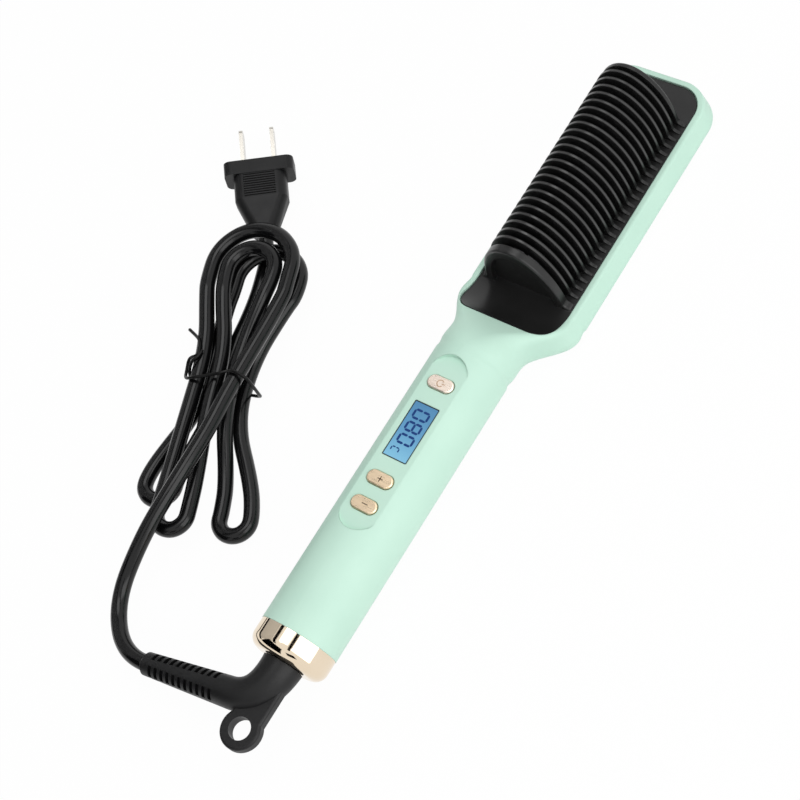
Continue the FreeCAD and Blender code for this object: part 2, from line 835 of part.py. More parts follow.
def make_bend_relief():
    axis = unit(relief_direction)
    end = arm_joint + axis * relief_length
    cone = Part.makeCone(relief_radius, relief_end_radius, relief_length, arm_joint, axis)
    side = unit(axis.cross(up))
    over = unit(side.cross(axis))
    tools = []
    for row in range(relief_rows):
        angle = math.pi * (2 * row + 1) / relief_rows
        outward = side * math.cos(angle) + over * math.sin(angle)
        around = axis.cross(outward)
        for i in range(relief_slots):
            reach = relief_slot_first + relief_slot_pitch * i
            radius = relief_radius + (relief_end_radius - relief_radius) * reach / relief_length
            centre = arm_joint + axis * reach
            low = outward * (radius - relief_slot_depth)
            start = centre + low - around * (relief_slot_across / 2) - axis * (relief_slot_width / 2)
            corners = [start, start + around * relief_slot_across,
                       start + around * relief_slot_across + axis * relief_slot_width,
                       start + axis * relief_slot_width]
            face = Part.Face(Part.makePolygon(corners + [start]))
            tools.append(face.extrude(outward * (relief_slot_depth + overrun)))
    return cut_all(cone, tools), end


def arc_edge(first, tangent, last):
    """The arc from one point with a given heading to another, or a line where that heading points at it."""
    chord = last - first
    heading = unit(tangent)
    angle = heading.getAngle(chord)
    if angle < least_turn:
        return Part.LineSegment(first, last).toShape(), heading
    ahead = unit(chord)
    aside = unit(heading - ahead * heading.dot(ahead))
    middle = first + chord / 2 + aside * (chord.Length / 2 * math.tan(angle / 2))
    leaving = ahead * (2 * heading.dot(ahead)) - heading
    return Part.Arc(first, middle, last).toShape(), leaving


def biarc(first, heading, last, arrival):
    """Two arcs that leave the first point and reach the last with the headings given."""
    start = unit(heading)
    finish = unit(arrival)
    span = last - first
    together = span.dot(start + finish)
    spread = 2 * (1 - start.dot(finish))
    if spread < least_turn:
        reach = span.dot(span) / (2 * together)
    else:
        reach = (math.sqrt(together ** 2 + spread * span.dot(span)) - together) / spread
    joint = (first + start * reach + last - finish * reach) / 2
    one, turned = arc_edge(first, start, joint)
    two, _ = arc_edge(joint, turned, last)
    return [one, two]


def tube(edges, radius, start, heading):
    path = Part.Wire(edges)
    profile = Part.Wire(Part.makeCircle(radius, start, heading))
    solid = path.makePipeShell([profile], True, False)
    share = solid.Volume / (math.pi * radius ** 2 * path.Length)
    print("tube length", round(path.Length, 1), "volume share", round(share, 4))
    return solid


def bent_run(points, names):
    """Straight runs joined by tangent arcs, with each radius printed."""
    edges = []
    last = points[0]
    for before, corner, after in zip(points, points[1:], points[2:]):
        back = unit(before - corner)
        ahead = unit(after - corner)
        shorter = min((before - corner).Length, (after - corner).Length)
        half_turn = (math.pi - back.getAngle(ahead)) / 2
        reach = bend_share * shorter
        radius = reach / math.tan(half_turn)
        print(names, "bend radius", round(radius, 1))
        middle = corner + unit(back + ahead) * (radius / math.cos(half_turn) - radius)
        edges.append(Part.LineSegment(last, corner + back * reach).toShape())
        edges.append(Part.Arc(corner + back * reach, middle, corner + ahead * reach).toShape())
        last = corner + ahead * reach
    edges.append(Part.LineSegment(last, points[-1]).toShape())
    return edges


def hank_point(across, along, z):
    place = hank_middle + hank_across * across + hank_along * along
    return Vector(place.x, place.y, z)


def level_z(level):
    return cord_radius + floor_gap + strand_step * level


def hank_start():
    return hank_point(start_across, start_along, level_z(start_level) + tie_lift)


def hank_edges():
    """The loops, from where the lead lies on the waist to the plug's tail."""
    place = hank_start()
    heading = unit(lead_arrival)
    ahead = unit(hank_along)
    sideways = unit(hank_across)
    straight = place + heading * cord_diameter
    edges = [Part.LineSegment(place, straight).toShape()]
    place = straight
    for i in range(len(top_radius)):
        for turn in (1, -1):
            if turn > 0:
                middle_across, middle_along = top_middle_across[i], top_middle_along[i]
                radius, z, side = top_radius[i], level_z(top_levels[i]), top_entry_sides[i]
                slot = 2 * i
            else:
                middle_across, middle_along = bottom_middle_across[i], bottom_middle_along[i]
                radius, z, side = bottom_radius[i], level_z(bottom_levels[i]), bottom_entry_sides[i]
                slot = 2 * i + 1
            entry = hank_point(middle_across + side * radius, middle_along, z)
            crown = hank_point(middle_across, middle_along + turn * radius, z)
            leave = hank_point(middle_across - side * radius, middle_along, z)
            edges += biarc(place, heading, entry, ahead * turn)
            edges.append(arc_edge(entry, ahead * turn, crown)[0])
            edges.append(arc_edge(crown, sideways * -side, leave)[0])
            place = hank_point(slot_across[slot], 0, level_z(slot_levels[slot]) + tie_lift)
            heading = ahead * -turn
            edges += biarc(leave, heading, place, heading)
    under = hank_point(tail_across, tail_along, level_z(0))
    edges += biarc(place, ahead, under, ahead)
    plug_axis = unit(plug_direction)
    tail_end = plug_end - plug_axis * cord_diameter
    edges += biarc(under, ahead, tail_end, plug_axis)
    edges.append(Part.LineSegment(tail_end, plug_end).toShape())
    return edges


def least_gap(edges, step):
    """The least gap between parts of the cord that are not neighbours along it, measured on points."""
    points = []
    for edge in edges:
        count = max(2, int(edge.Length / step))
        points += edge.discretize(count)[:-1]
    best = None
    skip = int(4 * cord_diameter / step)
    for i in range(len(points)):
        for j in range(i + skip, len(points)):
            gap = (points[i] - points[j]).Length - cord_diameter
            if best is None or gap < best[0]:
                best = (gap, points[i], points[j])
    return best


def make_twist_tie():
    low = tie_radius
    high = low + 2 * tie_half_height
    corners = [hank_point(-tie_left, 0, low), hank_point(tie_right, 0, low),
               hank_point(tie_right, 0, high), hank_point(-tie_left, 0, high)]
    loop = rounded_outline(corners, [tie_corner] * len(corners))
    first = loop.Edges[0].Vertexes[0].Point
    direction = loop.Edges[0].tangentAt(loop.Edges[0].FirstParameter)
    ring = loop.makePipeShell([Part.Wire(Part.makeCircle(tie_radius, first, direction))], True, False)
    start = hank_point(-tie_left, 0, low + tie_half_height)
    free = rod(tie_radius, tie_tail_length, start, unit(tie_tail_direction))
    return join([ring, free])


def plug_frame():
    """The plug's own directions: along it, across it and out of its broad face, which leans to one side."""
    axis = unit(plug_direction)
    level = unit(axis.cross(up))
    steep = unit(level.cross(axis))
    side = level * math.cos(plug_roll) - steep * math.sin(plug_roll)
    return axis, side, unit(side.cross(axis))


def plug_section(reach, width, height, corner):
    axis, side, over = plug_frame()
    centre = plug_end + axis * reach
    out = side * (width / 2)
    rise = over * (height / 2)
    corners = [centre - out - rise, centre + out - rise, centre + out + rise, centre - out + rise]
    return rounded_outline(corners, [corner] * len(corners))


def blade_places():
    axis, side, over = plug_frame()
    front = plug_neck_length + plug_body_length + plug_flange_length
    return [plug_end + axis * front + side * (turn * blade_spacing / 2) for turn in (-1, 1)]


def blade_solid(place):
    axis, side, over = plug_frame()
    low = place - axis * blade_root - over * (blade_height / 2) - side * (blade_thickness / 2)
    length = blade_root + blade_length
    corners = [low, low + axis * length, low + axis * length + over * blade_height, low + over * blade_height]
    outline = rounded_outline(corners, [fit_gap, blade_end_radius, blade_end_radius, fit_gap])
    return Part.Face(outline).extrude(side * blade_thickness)


def make_plug_body():
    axis, side, over = plug_frame()
    tail_width = 2 * plug_tail_radius
    near_round = plug_tail_radius * round_share
    body_size = (plug_body_width, plug_body_height, plug_body_corner)
    flange_size = (plug_flange_width, plug_flange_height, plug_flange_corner)
    flange_start = plug_neck_length + plug_body_length
    tail = Part.makeLoft([plug_section(0, tail_width, tail_width, near_round),
                          plug_section(plug_neck_length, *body_size)], True, True)
    body = Part.makeLoft([plug_section(plug_neck_length, *body_size),
                          plug_section(flange_start, *body_size)], True, True)
    flange = Part.makeLoft([plug_section(flange_start, *flange_size),
                            plug_section(flange_start + plug_flange_length, *flange_size)], True, True)
    tools = []
    for turn in (-1, 1):
        for i in range(plug_ridges):
            reach = plug_neck_length + plug_ridge_start + plug_ridge_pitch * i
            depth = over * (turn * (plug_body_height / 2 - plug_ridge_depth))
            low = plug_end + axis * reach - side * (plug_ridge_across / 2) + depth
            across = side * plug_ridge_across
            ahead = axis * plug_ridge_width
            corners = [low, low + ahead, low + ahead + across, low + across]
            tools.append(Part.Face(Part.makePolygon(corners + [low])).extrude(over * (turn * overrun)))
    solid = cut_all(join([tail, body, flange]), tools)
    return cut_all(solid, [blade_solid(place) for place in blade_places()])


def make_wires(points_for):
    wires = []
    for side in (-1, 1):
        points = points_for(side * wire_x)
        edges = bent_run(points, "wire")
        wires.append(tube(edges, wire_radius, points[0], unit(points[1] - points[0])))
    return Part.makeCompound(wires)


def heater_wire_points(x):
    start = Vector(x, board_far_y, board_low_z + board_thickness / 2)
    end = Vector(x, heater_near_y, wire_end_z)
    run = end.y - start.y
    first, second, third = [start.y + run * share for share in heater_wire_shares]
    return [start, Vector(x, first, start.z), Vector(x, second, (wire_neck_z + end.z) / 2),
            Vector(x, third, end.z), end]


def mains_wire_points(x):
    start = Vector(x, cap_end_y + cap_floor + collar_length + 2 * turning_gap + contact_length, axis_z)
    end = Vector(x, board_near_y, board_low_z + board_thickness / 2)
    third = (end.y - start.y) * mains_wire_share
    return [start, Vector(x, start.y + third, start.z), Vector(x, end.y - third, end.z), end]


os.makedirs("parts", exist_ok=True)
relief, relief_end = make_bend_relief()
exit_place = Vector(relief_end.x, relief_end.y, 0)
hank_middle = exit_place + hank_offset
plug_end = hank_middle + plug_offset
lead_start = hank_start()
relief_axis = unit(relief_direction)
lead_points = [relief_end + relief_axis * fit_gap, relief_end + relief_axis * lead_first_run]
lead_points += [exit_place + step for step in lead_steps]
lead_points += [lead_start - unit(lead_arrival) * lead_last_run, lead_start]
lead_edges = bent_run(lead_points, "cord lead")
loops = hank_edges()
closest = least_gap(lead_edges + loops, gap_step)
print("least gap between strands", round(closest[0], 2), "at", closest[1], closest[2])
tightest = min(edge.Curve.Radius for edge in lead_edges + loops if hasattr(edge.Curve, "Radius"))
print("tightest bend of the cord", round(tightest, 1))
cord_length = sum(edge.Length for edge in lead_edges + loops)
print("cord length", round(cord_length, 1))
solids = {
    "front_shell": make_front_shell(),
    "rear_cover": make_rear_cover(),
    "cover_screws": make_cover_screws(),
    "comb_cover": make_comb_cover(),
    "heating_comb": make_heating_comb(),
    "ceramic_heater": make_heater(),
    "insulation_sheet": make_insulation_sheet(),
    "heater_clamp": make_heater_clamp(),
    "heater_screws": make_heater_screws(),
    "thermistor": make_sensor(sensor_x, sensor_y, sensor_length),
    "thermal_fuse": make_sensor(-sensor_x, fuse_y, fuse_length),
    "heater_leads": make_wires(heater_wire_points),
    "mains_leads": make_wires(mains_wire_points),
    "control_board": make_control_board(),
    "board_screws": make_board_screws(),
    "power_module": make_power_module(),
    "display_window": make_display_window(),
    "display_module": make_display_module(),
    "display_holder": make_display_holder(),
    "switch_bodies": make_switch_bodies(),
    "power_button": make_button(power_y),
    "plus_button": make_button(plus_y),
    "minus_button": make_button(minus_y),
    "power_plunger": make_plunger(power_y),
    "plus_plunger": make_plunger(plus_y),
    "minus_plunger": make_plunger(minus_y),
    "end_cap": make_end_cap(),
    "contact_block": make_contact_block(),
    "swivel_collar": make_swivel_collar(),
    "cord_elbow": make_cord_elbow(),
    "bend_relief": relief,
    "cord_lead": tube(lead_edges, cord_radius, lead_points[0], relief_axis),
    "cord_hank": tube(loops, cord_radius, lead_start, unit(lead_arrival)),
    "twist_tie": make_twist_tie(),
    "plug_body": make_plug_body(),
    "plug_blades": Part.makeCompound([blade_solid(place) for place in blade_places()]),
}
for name, shape in solids.items():
    print(name, shape.isValid(), len(shape.Solids), round(shape.Volume, 1))
    shape.exportStep("parts/" + name + ".step")
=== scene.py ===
import math
from collections import namedtuple

import bmesh
import bpy
from mathutils import Matrix, Vector


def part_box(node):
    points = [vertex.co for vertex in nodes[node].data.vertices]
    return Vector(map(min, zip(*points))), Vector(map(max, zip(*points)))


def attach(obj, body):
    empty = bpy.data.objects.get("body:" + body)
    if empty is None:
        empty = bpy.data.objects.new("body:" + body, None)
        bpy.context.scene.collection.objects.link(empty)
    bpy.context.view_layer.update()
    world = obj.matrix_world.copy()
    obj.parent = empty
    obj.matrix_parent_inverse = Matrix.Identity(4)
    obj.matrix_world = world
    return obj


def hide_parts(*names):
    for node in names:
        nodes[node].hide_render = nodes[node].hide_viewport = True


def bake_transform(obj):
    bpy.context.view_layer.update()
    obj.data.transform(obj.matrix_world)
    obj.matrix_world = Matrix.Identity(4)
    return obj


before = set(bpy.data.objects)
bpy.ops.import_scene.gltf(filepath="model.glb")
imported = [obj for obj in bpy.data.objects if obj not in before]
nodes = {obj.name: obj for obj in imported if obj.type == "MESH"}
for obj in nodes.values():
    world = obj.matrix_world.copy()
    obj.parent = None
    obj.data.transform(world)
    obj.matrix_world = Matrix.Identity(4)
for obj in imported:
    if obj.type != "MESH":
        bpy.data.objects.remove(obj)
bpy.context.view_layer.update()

# Lengths are in metres, in the frame of the CAD model.
camera_place = Vector((0.2779, -0.1865, 0.5530))
camera_right = Vector((0.8017, 0.5235, -0.2885))
camera_down = Vector((0.3735, -0.8156, -0.4420))
camera_lens = 77.98
camera_sensor = 36.0
camera_near = 0.01

# The cord: the points of its lead, then the hank's loops by rule.
cord_radius = 0.0031
cord_sides = 20
cord_closeness = 12
relief_end = (-0.04804, -0.15791, 0.01167)
lead_route = (
    (-0.0590, -0.1598, 0.0107),
    (-0.0771, -0.1444, 0.0065),
    (-0.0770, -0.1201, 0.0165),
    (-0.0761, -0.0990, 0.0198),
    (-0.0778, -0.0735, 0.0185),
    (-0.08064, -0.05636, 0.0181),
)
hank_middle = Vector((-0.0921, -0.0520, 0.0))
hank_along = Vector((-0.34, 0.94, 0.0))
hank_across = Vector((0.94, 0.34, 0.0))
level_heights = (0.0032, 0.00995, 0.0167)
waist_lift = 0.0014
top_middle_across = (0.0034, 0.0034, 0.0085)
top_middle_along = (0.0462, 0.0450, 0.0440)
top_radius = (0.0170, 0.0100, 0.0135)
top_levels = (2, 2, 1)
top_entry_sides = (1, -1, 1)
bottom_middle_across = (-0.0032, 0.0194, -0.0155)
bottom_middle_along = (-0.0566, -0.0540, -0.0430)
bottom_radius = (0.0063, 0.0063, 0.0063)
bottom_levels = (1, 0, 0)
bottom_entry_sides = (-1, -1, -1)
slot_across = (-0.0085, -0.0004, 0.0066, 0.0091, -0.0082, -0.0010)
slot_levels = (1, 1, 1, 0, 0, 0)
arch_share = 0.414
leg_share = 0.27
lean_share = 0.22
tail_across = 0.0022
tail_along = 0.0500
tail_reach = 0.0029
plug_end = Vector((-0.1158, 0.0111, 0.0053))
plug_axis = Vector((-0.5938, 0.7917, 0.1435))
plug_tail_run = 0.0062

# The tie: places across the hank, along it and over the floor, from one free end to the other.
tie_radius = 0.00065
tie_sides = 10
tie_closeness = 8
tie_route = (
    (-0.0177, 0.0195, 0.0122), (-0.0136, 0.0166, 0.0136), (-0.0094, 0.0130, 0.0164),
    (-0.0082, 0.0080, 0.0164), (-0.0092, 0.0064, 0.0162), (-0.0136, 0.0066, 0.0135),
    (-0.0144, 0.0024, 0.0110), (-0.0128, -0.0022, 0.0132), (-0.0084, -0.0032, 0.0166),
    (-0.0020, -0.0015, 0.0164), (0.0040, -0.0005, 0.0172), (0.0100, -0.0015, 0.0226),
    (0.0154, -0.0030, 0.0226), (0.0176, -0.0040, 0.0190), (0.0172, -0.0040, 0.0080),
    (0.0150, -0.0020, 0.0009), (0.0, 0.0, 0.0008), (-0.0116, 0.0, 0.0008),
    (-0.0132, 0.0, 0.0050), (-0.0129, 0.0006, 0.0110), (-0.0110, 0.0040, 0.0158),
    (-0.0080, 0.0065, 0.0163), (-0.0074, 0.0092, 0.0160),
)

# The comb cover's ribs, whose crests get a painted sheen: a higher specular level along the middle of each
# crest, and painted shade, a lower one, at its sides.
rib_first = 0.0350
rib_pitch = 0.00353
rib_count = 23
rib_half = 0.0006
rib_foot = 0.0140
rib_rise = 0.0030
rib_end_share = 0.1
# Painted sheen and painted shade: the specular levels at a crest's middle and at a rib's sides.
painted_crest_sheen = 0.85
painted_side_shade = 0.1
plate_specular = 0.42
painted_sheen_shares = (0.2, 0.9)

# The display's figures and the signs on the buttons.
display_top = 0.02795
# The width of the painted shade along the display window's edge.
display_border = 0.00045
display_rows = 700.0
row_shade = 0.97
figure_rise = 0.00003
figure_height = 0.0068
figure_width = 0.0042
figure_stroke = 0.0009
figure_gap = 0.00012
figure_places = (-0.0361, -0.0413, -0.0465)
figure_segments = ("abcdef", "abcdefg", "abcdef")
unit_segments = "adef"
unit_place = (-0.0017, -0.0512)
unit_height = 0.0036
unit_width = 0.0022
unit_stroke = 0.0005
button_top = 0.0288
sign_rise = 0.00003
sign_stroke = 0.0004
plus_place = (0.0002, -0.0634)
plus_reach = 0.0011
minus_place = (0.0003, -0.0738)
minus_reach = 0.0012
power_place = (0.0, -0.02245)
power_radius = 0.0013
power_gap = math.radians(38.0)
power_steps = 28

# The studio: a pale floor, two soft lamps, an even ambient light, and cards that only reflections see.
white = (1.0, 1.0, 1.0, 1.0)
white_level = 1.0
floor_half = 4.0
floor_drop = 0.0004
floor_glow = 0.97
floor_colour = "F4F4F4"
ambient = 0.56
key_place = (0.70, -0.08, 0.50)
key_size = (0.60, 1.00)
key_power = 3.4
top_place = (-0.06, 0.14, 0.85)
top_size = (0.50, 0.50)
top_power = 1.5
cards = (
    ("dark_card", (-0.36, 0.0, 0.66), (0.50, 0.075)),
    ("dark_card", (0.23, 0.0, 0.72), (0.50, 0.055)),
    ("dark_card", (-0.80, 0.0, 0.06), (0.60, 0.06)),
    ("dark_card", (-0.42, -0.72, 0.34), (0.36, 0.34)),
    ("dark_card", (0.26, -0.80, 0.40), (0.18, 0.12)),
    ("grey_card", (-0.80, 0.0, 0.46), (0.60, 0.40)),
)
square = ((-1, -1), (1, -1), (1, 1), (-1, 1))

# The standard curve from written colours to linear ones.
curve_knee = 0.04045
curve_slope = 12.92
curve_offset = 0.055
curve_power = 2.4

# What all materials share: the scales and the detail of their noises, and the useful range of a noise.
drift_scale = 38.0
gloss_scale = 160.0
metal_scale = 60.0
noise_range = (0.3, 0.7)
noise_detail = 3.0
grain_detail = 2.0

# How deep a grain is, and how far edges look rounded.
plain_relief = 0.00003
thin_relief = 0.00002
faint_relief = 0.00001
deep_relief = 0.00005
mint_corner = 0.0007
rib_corner = 0.0004
corner_samples = 6
plain_specular = 0.5

# Plastics, rubbers, ceramics: the colour's ends, the range of roughness, the grain's scale and strength.
Moulding = namedtuple(
    "Moulding",
    "name low high rough grain strength relief specular coat corner",
    defaults=(plain_relief, plain_specular, 0.0, 0.0),
)
mouldings = {
    "mint": Moulding(
        "mint_casing", "C4E7D6", "C9EBDA", (0.42, 0.48), 2600.0, 0.05, specular=0.35, corner=mint_corner
    ),
    "black": Moulding("black_plastic", "101010", "161616", (0.34, 0.46), 3800.0, 0.16, specular=0.40),
    "cable": Moulding("black_cable", "09090A", "0E0E0F", (0.15, 0.23), 3000.0, 0.06, specular=0.34),
    "plug": Moulding("black_plug", "0C0C0D", "121213", (0.36, 0.46), 3400.0, 0.18, specular=0.27),
    "rubber": Moulding("black_rubber", "0E0E0F", "151516", (0.40, 0.52), 3400.0, 0.18, specular=0.36),
    "tie": Moulding("black_tie", "080808", "0E0E0E", (0.3, 0.4), 5200.0, 0.1, thin_relief, specular=0.2),
    "dark_card": Moulding("dark_card", "040404", "070707", (0.8, 0.9), 40.0, 0.02, specular=0.0),
    "grey_card": Moulding("grey_card", "D8D8D8", "DEDEDE", (0.8, 0.9), 40.0, 0.02, specular=0.0),
    "ceramic": Moulding("white_ceramic", "E9E7E2", "F1EFEA", (0.5, 0.6), 5200.0, 0.2),
    "mica": Moulding("mica_sheet", "A8926C", "BDA77F", (0.35, 0.5), 1400.0, 0.25, deep_relief),
    "sleeve": Moulding("wire_sleeve", "E0E0DA", "EAEAE4", (0.45, 0.55), 4200.0, 0.15),
    "board": Moulding("solder_mask", "0E4A24", "176033", (0.25, 0.4), 2200.0, 0.1),
    "white": Moulding("white_plastic", "E6E6E2", "EFEFEB", (0.4, 0.5), 3800.0, 0.12),
    "bead": Moulding("glass_bead", "6E3A22", "8A4B2C", (0.08, 0.16), 2600.0, 0.05, thin_relief, coat=0.6),
    "ink": Moulding("display_ink", "1E3D78", "264883", (0.3, 0.4), 5200.0, 0.05, faint_relief, specular=0.1),
    "sign": Moulding("button_sign", "5A4632", "6E573F", (0.35, 0.5), 5200.0, 0.05, faint_relief),
    "pale_sign": Moulding("power_sign", "C4A284", "D0AF92", (0.35, 0.5), 5200.0, 0.05, faint_relief),
    "module": Moulding("display_edge", "2A3238", "343D44", (0.3, 0.4), 3000.0, 0.1, thin_relief),
}
comb_moulding = Moulding("black_cover", "191919", "202020", (0.28, 0.38), 3800.0, 0.16, corner=rib_corner)

# Metals: the colour's ends, the range of roughness, and the scale and strength of the drawn lines.
Metal = namedtuple("Metal", "name low high rough stretch strength")
metals = {
    "fin": Metal("dark_fins", "4A4A4C", "5A5A5C", (0.24, 0.4), (200.0, 3000.0, 3000.0), 0.1),
    "steel": Metal("zinc_steel", "B4B4B2", "C2C2C0", (0.25, 0.4), (3000.0, 3000.0, 200.0), 0.1),
    "gold": Metal("champagne_gold", "E6D5BC", "ECDCC5", (0.05, 0.09), (900.0, 900.0, 900.0), 0.02),
    "key": Metal("key_gold", "EFD6B4", "F4DDBE", (0.26, 0.36), (300.0, 3600.0, 3600.0), 0.05),
    "pale_key": Metal("pale_gold", "F6E4D4", "FAEADC", (0.26, 0.36), (300.0, 3600.0, 3600.0), 0.05),
    "nickel": Metal("nickel_blades", "C6C2BA", "D2CEC6", (0.16, 0.28), (3000.0, 3000.0, 200.0), 0.08),
}

# The lit display: its colours from the handle's end to the head's, lighter at the handle's end as a painted
# highlight, its dark border, which is painted shade along the window's edge, and its shader's settings.
display_painted_highlight_shades = ((0.0, "82C2E1"), (0.45, "5F9DC7"), (1.0, "4D87B2"))
# The colour of the painted shade along the display window's edge.
display_edge = "141C24"
display_values = {
    "Emission Strength": 0.10,
    "Roughness": 0.25,
    "Coat Weight": 0.3,
    "Coat Roughness": 0.04,
}

node_paints = {
    "mint": ("front_shell", "rear_cover"),
    "comb": ("comb_cover",),
    "black": ("switch_bodies", "contact_block", "swivel_collar", "power_module"),
    "rubber": ("cord_elbow", "bend_relief"),
    "plug": ("plug_body",),
    "fin": ("heating_comb",),
    "ceramic": ("ceramic_heater",),
    "mica": ("insulation_sheet",),
    "steel": ("cover_screws", "heater_clamp", "heater_screws", "board_screws", "thermal_fuse"),
    "bead": ("thermistor",),
    "sleeve": ("heater_leads", "mains_leads"),
    "board": ("control_board",),
    "display": ("display_window",),
    "module": ("display_module",),
    "white": ("display_holder", "power_plunger", "plus_plunger", "minus_plunger"),
    "gold": ("end_cap",),
    "key": ("plus_button", "minus_button"),
    "pale_key": ("power_button",),
    "nickel": ("plug_blades",),
}


def linear(code):
    """A colour written as six hexadecimal figures, as linear red, green, blue and one."""
    values = []
    for start in (0, 2, 4):
        share = int(code[start:start + 2], 16) / 255
        if share <= curve_knee:
            values.append(share / curve_slope)
        else:
            values.append(((share + curve_offset) / (1 + curve_offset)) ** curve_power)
    return (*values, 1.0)


def add_node(tree, kind, **settings):
    node = tree.nodes.new(kind)
    for key, value in settings.items():
        setattr(node, key, value)
    return node


class Paint:
    """A material whose nodes are added one call at a time."""

    def __init__(self, name):
        self.material = bpy.data.materials.new(name)
        self.material.use_nodes = True
        self.tree = self.material.node_tree
        self.shader = self.tree.nodes["Principled BSDF"]
        self.place = self.add("ShaderNodeTexCoord").outputs["Object"]

    def add(self, kind, **settings):
        return add_node(self.tree, kind, **settings)

    def join(self, source, target):
        self.tree.links.new(source, target)

    def feed(self, source, name):
        """Link a source to the shader's socket of that name."""
        self.join(source, self.shader.inputs[name])

    def set(self, values):
        for name, value in values.items():
            self.shader.inputs[name].default_value = value

    def axes(self):
        """The place on the surface as its three parts."""
        parts = self.add("ShaderNodeSeparateXYZ")
        self.join(self.place, parts.inputs["Vector"])
        return parts.outputs

    def stretched(self, scale):
        mapping = self.add("ShaderNodeMapping")
        mapping.inputs["Scale"].default_value = scale
        self.join(self.place, mapping.inputs["Vector"])
        return mapping.outputs["Vector"]

    def noise(self, scale, detail=noise_detail, place=None):
        node = self.add("ShaderNodeTexNoise")
        node.inputs["Scale"].default_value = scale
        node.inputs["Detail"].default_value = detail
        self.join(place or self.place, node.inputs["Vector"])
        return node.outputs["Fac"]

    def ramp(self, source, stops):
        """Colours along a source, from stops of a place and a colour."""
        node = self.add("ShaderNodeValToRGB")
        elements = node.color_ramp.elements
        for where, _ in stops[1:-1]:
            elements.new(where)
        for element, (where, code) in zip(elements, stops):
            element.position = where
            element.color = linear(code)
        self.join(source, node.inputs["Fac"])
        return node.outputs["Color"]

    def span(self, source, low, high, from_low=noise_range[0], from_high=noise_range[1]):
        """A source's range, stretched to another."""
        node = self.add("ShaderNodeMapRange")
        node.inputs["From Min"].default_value = from_low
        node.inputs["From Max"].default_value = from_high
        node.inputs["To Min"].default_value = low
        node.inputs["To Max"].default_value = high
        self.join(source, node.inputs["Value"])
        return node.outputs["Result"]

    def combine(self, operation, *sources):
        """A sum of one or two sources or numbers."""
        node = self.add("ShaderNodeMath", operation=operation)
        for socket, source in zip(node.inputs, sources):
            if isinstance(source, float):
                socket.default_value = source
            else:
                self.join(source, socket)
        return node.outputs["Value"]

    def inside(self, source, low, high, border):
        """One inside a span, and nought within the border of its ends."""
        distance = self.combine("ABSOLUTE", self.combine("SUBTRACT", source, (low + high) / 2))
        half = (high - low) / 2
        return self.span(distance, 1.0, 0.0, half - border, half - border / 2)

    def drift(self, low, high, scale):
        """A slow drift of the colour between its two ends."""
        stops = tuple(zip(noise_range, (low, high)))
        self.feed(self.ramp(self.noise(scale), stops), "Base Color")

    def bump(self, source, strength, depth, corner=0.0):
        """A fine relief, and with a corner radius also edges that look rounded."""
        node = self.add("ShaderNodeBump")
        if corner:
            rounded = self.add("ShaderNodeBevel", samples=corner_samples)
            rounded.inputs["Radius"].default_value = corner
            self.join(rounded.outputs["Normal"], node.inputs["Normal"])
        node.inputs["Strength"].default_value = strength
        node.inputs["Distance"].default_value = depth
        self.join(source, node.inputs["Height"])
        self.feed(node.outputs["Normal"], "Normal")


def moulded(look):
    """Moulded plastic, rubber or ceramic: a slow drift of colour, uneven gloss and a fine grain."""
    paint = Paint(look.name)
    paint.drift(look.low, look.high, drift_scale)
    paint.feed(paint.span(paint.noise(gloss_scale), *look.rough), "Roughness")
    paint.bump(paint.noise(look.grain, grain_detail), look.strength, look.relief, look.corner)
    paint.set({"Specular IOR Level": look.specular, "Coat Weight": look.coat})
    return paint


def metal(look):
    """Plated or brushed metal: a faint drift of colour and fine drawn lines."""
    paint = Paint(look.name)
    paint.drift(look.low, look.high, metal_scale)
    lines = paint.noise(1.0, grain_detail, paint.stretched(look.stretch))
    paint.feed(paint.span(lines, *look.rough), "Roughness")
    paint.bump(lines, look.strength, faint_relief)
    paint.set({"Metallic": 1.0})
    return paint


def display_paint():
    """The lit display: lighter towards the handle's end as a painted highlight, with fine rows and a dark
    border of painted shade along the window's edge.
    """
    low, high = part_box("display_window")
    paint = Paint("display_face")
    parts = paint.axes()
    along = paint.span(parts["Y"], 0.0, 1.0, low[1], high[1])
    # Painted highlight: the colour is lightest at the handle's end of the window, and glows as well.
    glow = paint.ramp(along, display_painted_highlight_shades)
    rows = paint.add("ShaderNodeTexWave", bands_direction="Y")
    rows.inputs["Scale"].default_value = display_rows
    paint.join(paint.place, rows.inputs["Vector"])
    shade = paint.span(rows.outputs["Fac"], row_shade, 1.0, 0.0, 1.0)
    # Painted shade: a dark border along the window's edge.
    for axis, name in enumerate("XY"):
        clear = paint.inside(parts[name], low[axis], high[axis], display_border)
        shade = paint.combine("MULTIPLY", shade, clear)
    mixed = paint.add("ShaderNodeMix", data_type="RGBA")
    mixed.inputs["A"].default_value = linear(display_edge)
    paint.join(shade, mixed.inputs["Factor"])
    paint.join(glow, mixed.inputs["B"])
    paint.feed(mixed.outputs["Result"], "Base Color")
    paint.feed(mixed.outputs["Result"], "Emission Color")
    paint.set(display_values)
    return paint


